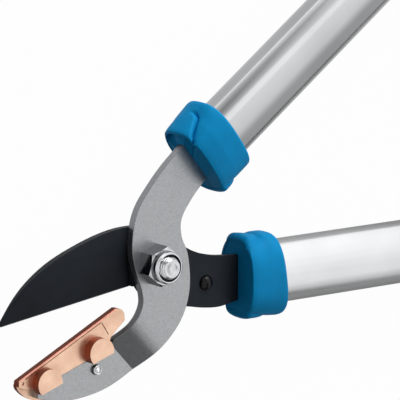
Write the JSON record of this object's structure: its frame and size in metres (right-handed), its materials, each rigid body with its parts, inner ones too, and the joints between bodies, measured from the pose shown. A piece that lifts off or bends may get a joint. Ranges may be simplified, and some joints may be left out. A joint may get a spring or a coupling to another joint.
{
  "type": "anvil lopper",
  "caption": "Anvil lopper: a coated blade closes on a cast copper-coloured anvil in a cranked steel jaw, with a lock nut on the pivot and oval tube handles with collars and soft grips.",
  "frame": {"origin": "centre of the pivot bolt head's outer face", "axes": "+X towards the grips, between the handles; +Y towards the jaw's handle; +Z along the pivot axis, out of the lock nut's side"},
  "size_m": [0.7056, 0.4755, 0.0355],
  "materials": {
    "jaw_steel": "satin grey plate steel with a fine grain",
    "anvil_copper": "copper-coloured plated casting",
    "pin_steel": "bright turned steel",
    "fastener_zinc": "bright plated steel",
    "insert_nylon": "dark nylon ring",
    "blade_coating": "black low-friction coating on steel",
    "tube_aluminium": "satin silver tube",
    "sleeve_plastic": "black moulded plastic",
    "collar_plastic": "blue moulded plastic",
    "grip_rubber": "black soft rubber"
  },
  "bodies": {
    "anvil_side": {"anvil_jaw": "jaw_steel", "anvil": "anvil_copper", "anvil_pin": "pin_steel", "pivot_bolt": "fastener_zinc", "bolt_washer": "fastener_zinc", "pivot_nut": "fastener_zinc", "nut_insert": "insert_nylon", "jaw_tube": "tube_aluminium", "jaw_tang_sleeve": "sleeve_plastic", "jaw_tang_pin": "pin_steel", "jaw_collar": "collar_plastic", "jaw_grip_band": "collar_plastic", "jaw_grip": "grip_rubber", "jaw_grip_cap": "collar_plastic"},
    "blade_side": {"blade": "blade_coating", "stop_rivet": "blade_coating", "blade_tube": "tube_aluminium", "blade_tang_sleeve": "sleeve_plastic", "blade_tang_pin": "pin_steel", "blade_collar": "collar_plastic", "blade_grip_band": "collar_plastic", "blade_grip": "grip_rubber", "blade_grip_cap": "collar_plastic"}
  },
  "joints": [
    {"name": "blade_pivot", "type": "hinge", "parent": "anvil_side", "child": "blade_side", "pos_m": [0, 0, 0.0115], "axis": [0, 0, 1], "range_deg": [-35, 18.2]}
  ]
}
